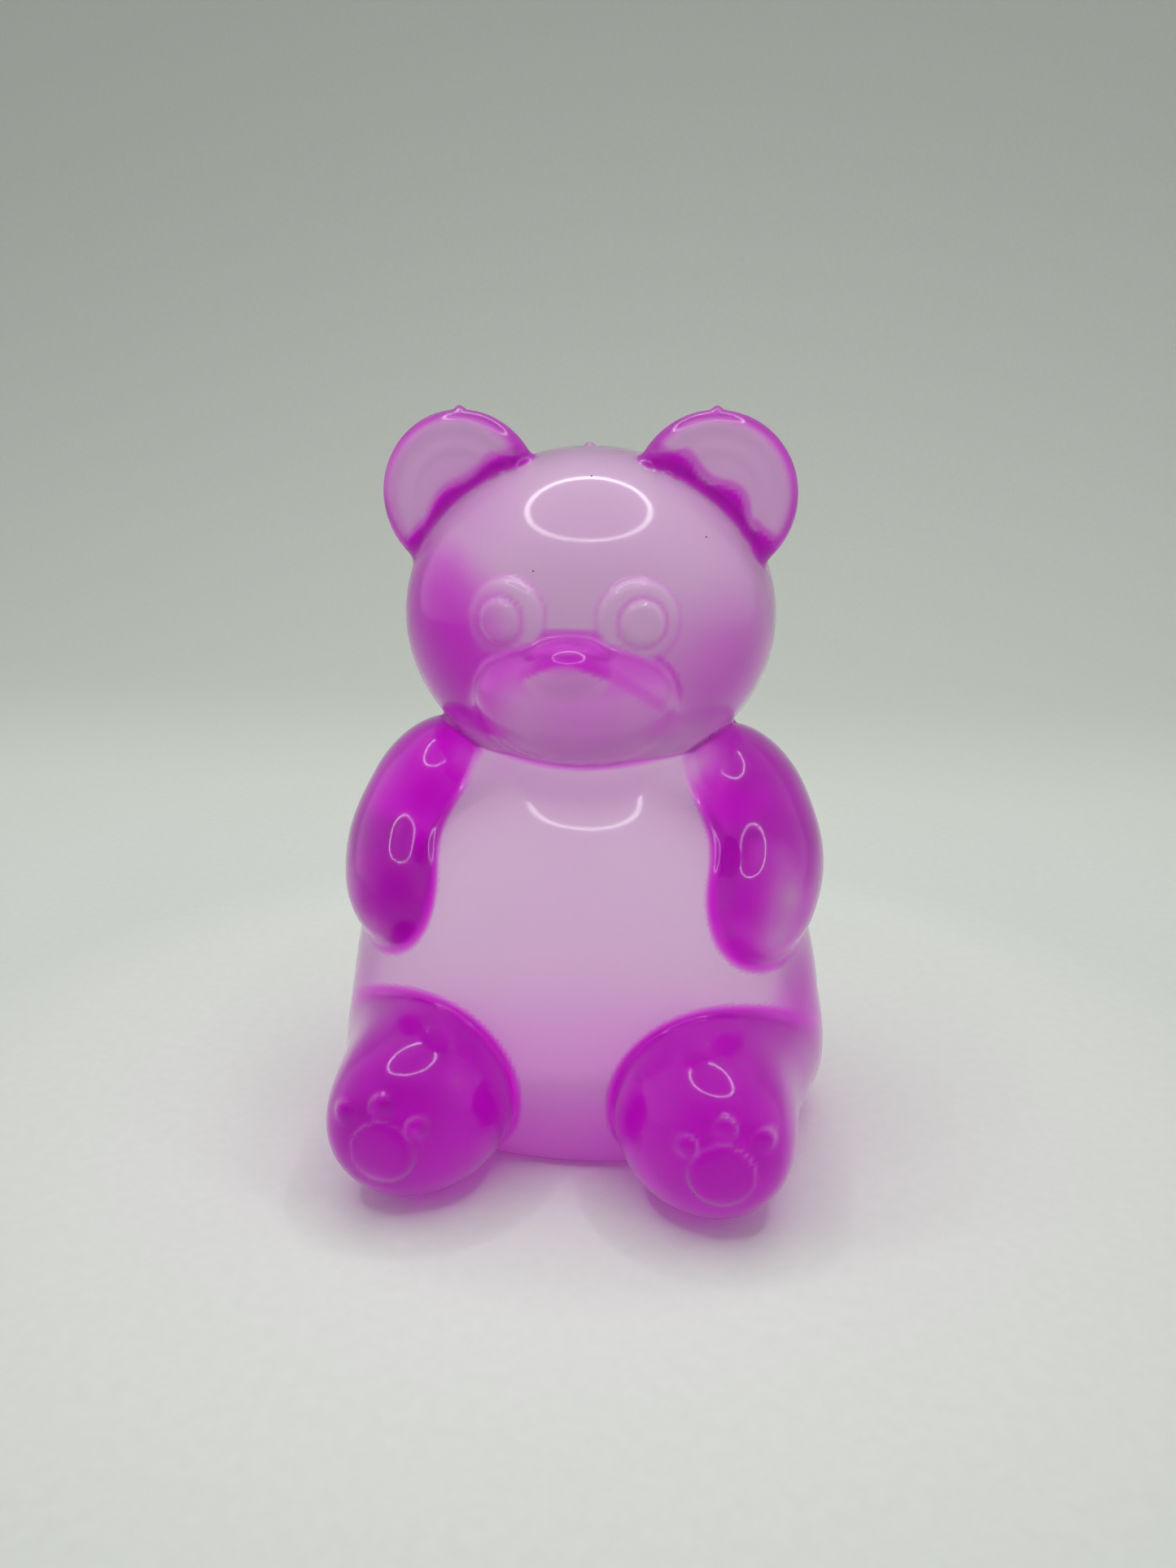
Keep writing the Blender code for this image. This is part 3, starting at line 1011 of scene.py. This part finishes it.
@dataclass(frozen=True)
class ClearPlastic:
    """Glossy see-through plastic, dyed all through, with a soft haze inside and a polished outside; its base
    colour carries painted light and shade.

    Attributes:
        tint: Share of each colour that the dye lets through; 0 takes in the full density.
        density: Absorption per metre where the tint is 0.
        deep: What one crossing of the skin leaves of each colour where the painted shade depth is 1.
        flow: Least and greatest share of the depth that slow streaks leave.
        clearness: Share of the light under the gloss that passes through; the rest is scattered at the skin.
        ior: Refractive index.
        haze: Roughness that light meets on its way through.
        haze_swing: How far the streaks take it up and down.
        polish: Roughness of the gloss on top.
        gloss: Refractive index of the gloss.
        inner_tint: Share of each colour that the skin under the gloss mirrors, as it touches the gloss.
        inner_level: Strength of that mirroring.
        ripple: Height of the faint moulding ripple, in metres.
        grain: Height of the fine grain, as a share of the ripple's.
        seam: Height of the parting line, in metres.
        seam_width: Distances from the parting plane where the line starts and stops to fall, in metres.
        swells: Small swellings of the skin, as x, y, z, radius and height in millimetres.
        waves: Wavy places of the skin, as x, y, z, radius and height in millimetres.
        wave_core: Share of a wavy place's radius with the whole height.
        specks: Dark specks in the skin, as x, y, z and radius in millimetres.
        speck_core: Share of a speck's radius that is wholly dark.
        speck_color: Their colour.
    """

    tint: tuple[float, float, float] = (0.96, 0.0, 0.955)
    density: float = 18.5
    deep: tuple[float, float, float] = (0.8, 0.0003, 0.825)
    flow: tuple[float, float] = (0.82, 1.12)
    clearness: float = 0.8
    ior: float = 1.49
    haze: float = 0.32
    haze_swing: float = 0.025
    polish: float = 0.09
    gloss: float = 1.29
    inner_tint: tuple[float, float, float] = (0.12, 0.1, 0.12)
    inner_level: float = 0.1
    ripple: float = 0.00002
    grain: float = 0.06
    seam: float = 0.00003
    seam_width: tuple[float, float] = (0.00003, 0.00014)
    swells: tuple[tuple[float, float, float, float, float], ...] = (
        (-13.5, -5.8, 27.1, 2.4, 0.22),
        (13.4, -6.4, 26.6, 2.4, 0.22),
    )
    waves: tuple[tuple[float, float, float, float, float], ...] = (
        (11.7, -17.1, 12.7, 5.0, 0.45),
        (-10.6, -16.9, 12.7, 4.0, 0.2),
        (-12.8, -2.4, 32.0, 4.5, 0.25),
        (13.3, -0.9, 33.2, 4.5, 0.25),
        (0.5, -10.2, 42.8, 2.6, 0.2),
    )
    wave_core: float = 0.3
    specks: tuple[tuple[float, float, float, float], ...] = (
        (10.58, -18.94, 5.02, 0.16),
        (9.72, -1.72, 50.61, 0.1),
        (0.85, -1.15, 55.02, 0.12),
        (-2.92, -6.21, 48.27, 0.08),
    )
    speck_core: float = 0.6
    speck_color: tuple[float, float, float] = (0.02, 0.004, 0.02)

    # Scales per metre of the streaks, the ripple, the grain and the waves.
    SCALES = (90.0, 160.0, 1500.0, 330.0)

    def material(self, painted_shade_name: str) -> bpy.types.Material:
        """The node material of the plastic.

        Args:
            painted_shade_name: The mesh attribute that carries the depth of the painted light and shade.

        Returns:
            The material.
        """
        made = bpy.data.materials.new("clear_magenta_plastic")
        made.use_nodes = True
        nodes = Nodes.of(made.node_tree)
        shader = made.node_tree.nodes["Principled BSDF"]
        shader.inputs["Transmission Weight"].default_value = self.clearness
        shader.inputs["IOR"].default_value = self.ior
        shader.inputs["Specular IOR Level"].default_value = self.inner_level
        shader.inputs["Specular Tint"].default_value = (*self.inner_tint, 1.0)
        shader.inputs["Coat Weight"].default_value = 1.0
        shader.inputs["Coat Roughness"].default_value = self.polish
        shader.inputs["Coat IOR"].default_value = self.gloss
        flow = nodes.noise(self.SCALES[0])
        # The depth of painted light and shade that the skin carries.
        depth = made.node_tree.nodes.new("ShaderNodeAttribute")
        depth.attribute_name = painted_shade_name
        haze = nodes.ranged(flow, nodes.NOISE, (self.haze - self.haze_swing, self.haze + self.haze_swing))
        nodes.join(self.color(nodes, flow, depth.outputs["Fac"]), shader.inputs["Base Color"])
        nodes.join(haze, shader.inputs["Roughness"])
        nodes.join(self.relief(nodes), shader.inputs["Normal"])
        dye = made.node_tree.nodes.new("ShaderNodeVolumeAbsorption")
        dye.inputs["Color"].default_value = (*self.tint, 1.0)
        dye.inputs["Density"].default_value = self.density
        nodes.join(dye.outputs["Volume"], made.node_tree.nodes["Material Output"].inputs["Volume"])
        return made

    def color(
        self, nodes: Nodes, flow: bpy.types.NodeSocket, depth: bpy.types.NodeSocket
    ) -> bpy.types.NodeSocket:
        """Painted light and shade in nodes by Beer's law: deep ** depth, with the depth varied a little by
        the flow, and dark specks.

        Args:
            nodes: The material's nodes.
            flow: Slow noise from 0 to 1.
            depth: Depth of the painted light and shade, from 0 to 1.

        Returns:
            The colour socket.
        """
        varied = nodes.math("MULTIPLY", depth, nodes.ranged(flow, nodes.NOISE, self.flow))
        power = nodes.tree.nodes.new("ShaderNodeGamma")
        power.inputs["Color"].default_value = (*self.deep, 1.0)
        nodes.join(varied, power.inputs["Gamma"])
        dark = None
        for x, y, z, radius in self.specks:
            spot = nodes.near((x, y, z), self.speck_core * radius, radius)
            dark = spot if dark is None else nodes.math("MAXIMUM", dark, spot)
        mix = nodes.tree.nodes.new("ShaderNodeMix")
        mix.data_type = "RGBA"
        nodes.join(dark, mix.inputs["Factor"])
        nodes.join(power.outputs["Color"], mix.inputs["A"])
        mix.inputs["B"].default_value = (*self.speck_color, 1.0)
        return mix.outputs["Result"]

    def relief(self, nodes: Nodes) -> bpy.types.NodeSocket:
        """Bumps one over the other: ripple, fine grain, the raised parting line, swells and wavy places.

        Args:
            nodes: The material's nodes.

        Returns:
            The normal socket.
        """
        off = nodes.math("ABSOLUTE", nodes.math("SUBTRACT", nodes.split()["Y"], PARTING_Y * MM))
        layers = [
            (nodes.noise(self.SCALES[1]), self.ripple),
            (nodes.noise(self.SCALES[2]), self.ripple * self.grain),
            (nodes.ranged(off, self.seam_width, (1.0, 0.0)), self.seam),
        ]
        for x, y, z, radius, height in self.swells:
            layers.append((nodes.near((x, y, z), 0.0, radius), height * MM))
        wavy = nodes.noise(self.SCALES[3])
        for x, y, z, radius, height in self.waves:
            share = nodes.near((x, y, z), self.wave_core * radius, radius)
            layers.append((nodes.math("MULTIPLY", share, wavy), height * MM))
        normal = None
        for height, distance in layers:
            bump = nodes.tree.nodes.new("ShaderNodeBump")
            bump.inputs["Distance"].default_value = distance
            nodes.join(height, bump.inputs["Height"])
            if normal is not None:
                nodes.join(normal, bump.inputs["Normal"])
            normal = bump.outputs["Normal"]
        return normal


@dataclass(frozen=True)
class Matte:
    """A dull finish: pale paper for the floor and its backdrop, or the glowing face of the lamp.

    Attributes:
        name: Its name.
        color: Its colour.
        glow: How strongly it glows; without glow it has the paper's grain with painted light and shade.
        ahead: Range of y, in metres, from painted shadow in front to whole, and the shares there.
        above: Range of z from whole to painted shade up the wall, and the shares there.
        beside: Range of distance from the figure, from a painted pool of light to whole, and the shares
            there.
        grain: Least and greatest share of the fine grain.
        grain_scale: Its scale per metre.
    """

    name: str
    color: tuple[float, float, float]
    glow: float = 0.0
    ahead: tuple[tuple[float, float], tuple[float, float]] = ((-0.06, 0.1), (0.8, 1.0))
    above: tuple[tuple[float, float], tuple[float, float]] = ((0.03, 0.3), (1.0, 0.84))
    beside: tuple[tuple[float, float], tuple[float, float]] = ((0.014, 0.07), (1.26, 1.0))
    grain: tuple[float, float] = (0.985, 1.015)
    grain_scale: float = 900.0

    def material(self) -> bpy.types.Material:
        """The node material.

        Returns:
            The material.
        """
        made = bpy.data.materials.new(self.name)
        made.use_nodes = True
        shader = made.node_tree.nodes["Principled BSDF"]
        shader.inputs["Base Color"].default_value = (*self.color, 1.0)
        shader.inputs["Roughness"].default_value = 0.9
        shader.inputs["Specular IOR Level"].default_value = 0.1
        if self.glow:
            shader.inputs["Emission Color"].default_value = (*self.color, 1.0)
            shader.inputs["Emission Strength"].default_value = self.glow
        else:
            made.node_tree.links.new(self.grain_and_painted_light(Nodes.of(made.node_tree)), shader.inputs["Base Color"])
        return made

    def grain_and_painted_light(self, nodes: Nodes) -> bpy.types.NodeSocket:
        """The colour times a fine paper noise, with painted shadow to the front, painted shade up the wall
        and a painted pool of light by the figure.

        Args:
            nodes: The material's nodes.

        Returns:
            The colour socket.
        """
        place = nodes.split()
        away = nodes.tree.nodes.new("ShaderNodeVectorMath")
        away.operation = "LENGTH"
        nodes.join(nodes.place.outputs["Object"], away.inputs[0])
        grain = nodes.ranged(nodes.noise(self.grain_scale), nodes.NOISE, self.grain)
        # Painted shadow in front, painted shade up the wall, painted light close by the figure.
        shade = nodes.math("MULTIPLY", nodes.ranged(place["Y"], *self.ahead), grain)
        shade = nodes.math("MULTIPLY", shade, nodes.ranged(place["Z"], *self.above))
        shade = nodes.math("MULTIPLY", shade, nodes.ranged(away.outputs["Value"], *self.beside))
        scale = nodes.tree.nodes.new("ShaderNodeVectorMath")
        scale.operation = "SCALE"
        scale.inputs[0].default_value = self.color
        nodes.join(shade, scale.inputs["Scale"])
        return scale.outputs["Vector"]


@dataclass(frozen=True)
class Studio:
    """The floor and its swept backdrop, the ring lamp and the soft light all round.

    Attributes:
        reach: How far the floor goes to the sides and to the front, in millimetres.
        wall_start: How far back it starts to curve up.
        bend: Radius of that curve.
        wall_top: Height of the wall.
        floor_gap: How far the floor lies under the seat, so that no two faces share a plane.
        paper: Colour of the floor and the wall.
        ring_centre: Place of the ring lamp, in millimetres.
        ring_radius: Its radius.
        ring_width: Width of the glowing band.
        ring_sides: Number of quads round it.
        ring_glow: How strongly it glows.
        zenith: Glow straight above.
        level: Glow at the horizon, at the sides and behind.
        front: Share of the level glow that is left straight in front.
        front_range: Values of y of a direction where the glow starts and stops to dim.
        air: Colour of the glow.
    """

    reach: float = 600.0
    wall_start: float = 180.0
    bend: float = 160.0
    wall_top: float = 420.0
    floor_gap: float = 0.03
    paper: tuple[float, float, float] = (0.725, 0.745, 0.715)
    ring_centre: tuple[float, float, float] = (-7.0, -38.0, 255.0)
    ring_radius: float = 106.0
    ring_width: float = 10.0
    ring_sides: int = 96
    ring_glow: float = 18.5
    zenith: float = 0.56
    level: float = 0.97
    front: float = 0.3
    front_range: tuple[float, float] = (-0.35, -0.9)
    air: tuple[float, float, float] = (0.97, 1.0, 0.96)

    def sweep(self) -> bpy.types.Object:
        """Floor that curves up into a wall behind: a profile carried along x.

        Returns:
            The object.
        """
        along = np.linspace(-self.reach, self.reach, 25)
        flat = np.stack([np.linspace(-self.reach, self.wall_start, 30), np.zeros(30)], -1)
        angle = np.linspace(0, math.pi / 2, 16)[1:]
        curve = self.bend * np.stack([np.sin(angle), 1 - np.cos(angle)], -1) + np.array([self.wall_start, 0])
        height = np.linspace(self.bend, self.wall_top, 13)[1:]
        wall = np.stack([np.full(len(height), self.wall_start + self.bend), height], -1)
        profile = np.concatenate([flat, curve, wall]) - np.array([0, self.floor_gap])
        rows, columns = len(profile), len(along)
        xx, row = np.meshgrid(along, np.arange(rows))
        points = np.stack([xx, profile[row, 0], profile[row, 1]], -1).reshape(-1, 3)
        r, c = np.meshgrid(np.arange(rows - 1), np.arange(columns - 1), indexing="ij")
        near, far = r * columns + c, (r + 1) * columns + c
        quads = np.stack([near, near + 1, far + 1, far], -1).reshape(-1, 4)
        thing = link("sweep", plain_mesh("sweep", points, quads))
        thing.data.shade_smooth()
        thing.data.materials.append(Matte("sweep_paper", self.paper).material())
        return thing

    def ring(self) -> bpy.types.Object:
        """Flat glowing ring, facing down: radius from inner to outer, once round.

        Returns:
            The object.
        """
        turn = np.linspace(0, 2 * math.pi, self.ring_sides, endpoint=False)
        radii = np.array([self.ring_radius - self.ring_width / 2, self.ring_radius + self.ring_width / 2])
        rr, tt = np.meshgrid(radii, turn)
        flat = np.stack([rr * np.cos(tt), rr * np.sin(tt), np.zeros_like(rr)], -1).reshape(-1, 3)
        i = np.arange(self.ring_sides)
        j = (i + 1) % self.ring_sides
        quads = np.stack([2 * i, 2 * j, 2 * j + 1, 2 * i + 1], -1)
        thing = link("ring_lamp", plain_mesh("ring_lamp", flat + np.array(self.ring_centre), quads))
        thing.data.materials.append(Matte("ring_glow", (1.0, 1.0, 1.0), self.ring_glow).material())
        return thing

    def room(self) -> bpy.types.World:
        """Soft light from every side: level + (zenith - level) * up, dimmed towards the front.

        Returns:
            The world, with up the height and front the share of -y of each direction.
        """
        world = bpy.data.worlds.new("room")
        world.use_nodes = True
        nodes = Nodes.of(world.node_tree)
        way = nodes.split("Generated")
        up = nodes.ranged(way["Z"], (0.0, 1.0), (self.level, self.zenith))
        ahead = nodes.ranged(way["Y"], self.front_range, (1.0, self.front), Easing.SMOOTH)
        background = world.node_tree.nodes["Background"]
        background.inputs["Color"].default_value = (*self.air, 1.0)
        nodes.join(nodes.math("MULTIPLY", up, ahead), background.inputs["Strength"])
        return world

    def build(self) -> None:
        """Makes the stage and the light."""
        self.sweep()
        self.ring()
        bpy.context.scene.world = self.room()
        LOG.info("studio: sweep, ring lamp and soft room light")


@dataclass(frozen=True)
class PhotoCamera:
    """The camera at the photograph's angle.

    Attributes:
        azimuth: Degrees towards +X.
        pitch: Degrees downwards.
        roll: Degrees about the view.
        distance: Level distance from the parting plane's middle, in millimetres.
        height: Height above the floor.
        focal_pixels: Focal length, in pixels of the photograph.
        long_side: Long side of the photograph, in pixels.
        sensor: Long side of the sensor, in millimetres.
        clip: Nearest and farthest distance that shows, in metres.
    """

    azimuth: float = 6.3
    pitch: float = 15.9
    roll: float = 0.3
    distance: float = 99.3
    height: float = 57.05
    focal_pixels: float = 1448.0
    long_side: float = 1927.0
    sensor: float = 36.0
    clip: tuple[float, float] = (0.001, 10.0)

    def build(self) -> bpy.types.Object:
        """Makes the camera and sets it.

        Returns:
            The camera.
        """
        data = bpy.data.cameras.new("photo_camera")
        data.sensor_width = self.sensor
        data.lens = self.focal_pixels * self.sensor / self.long_side
        data.clip_start, data.clip_end = self.clip
        thing = bpy.data.objects.new("photo_camera", data)
        a, e = math.radians(self.azimuth), math.radians(self.pitch)
        thing.location = (
            self.distance * math.sin(a) * MM,
            (PARTING_Y - self.distance * math.cos(a)) * MM,
            self.height * MM,
        )
        ahead = Vector((-math.sin(a) * math.cos(e), math.cos(a) * math.cos(e), -math.sin(e)))
        look = ahead.to_track_quat("-Z", "Y")
        thing.rotation_mode = "QUATERNION"
        thing.rotation_quaternion = look @ Matrix.Rotation(math.radians(self.roll), 4, "Z").to_quaternion()
        bpy.context.scene.collection.objects.link(thing)
        bpy.context.scene.camera = thing
        LOG.info("camera: lens of %.1f mm", data.lens)
        return thing


def main() -> None:
    """Builds the figure, its finish, the camera and the studio, and reports the skin, the camera and the
    studio.
    """
    logging.basicConfig(level=logging.INFO, format="%(name)s: %(message)s")
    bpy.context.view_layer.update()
    detail = Detail.FULL
    figure = Figure()
    # The skin's colour carries painted light and shade, laid on as a depth.
    dye = PaintedLightAndShade(figure)
    skin = Skin(figure, detail, dye).build()
    skin.data.materials.clear()
    skin.data.materials.append(ClearPlastic().material(dye.name))
    PhotoCamera().build()
    Studio().build()
    scene = bpy.context.scene
    scene.view_settings.view_transform = "Standard"
    scene.cycles.max_bounces = BOUNCES
    scene.cycles.transmission_bounces = BOUNCES


if __name__ == "__main__":
    main()
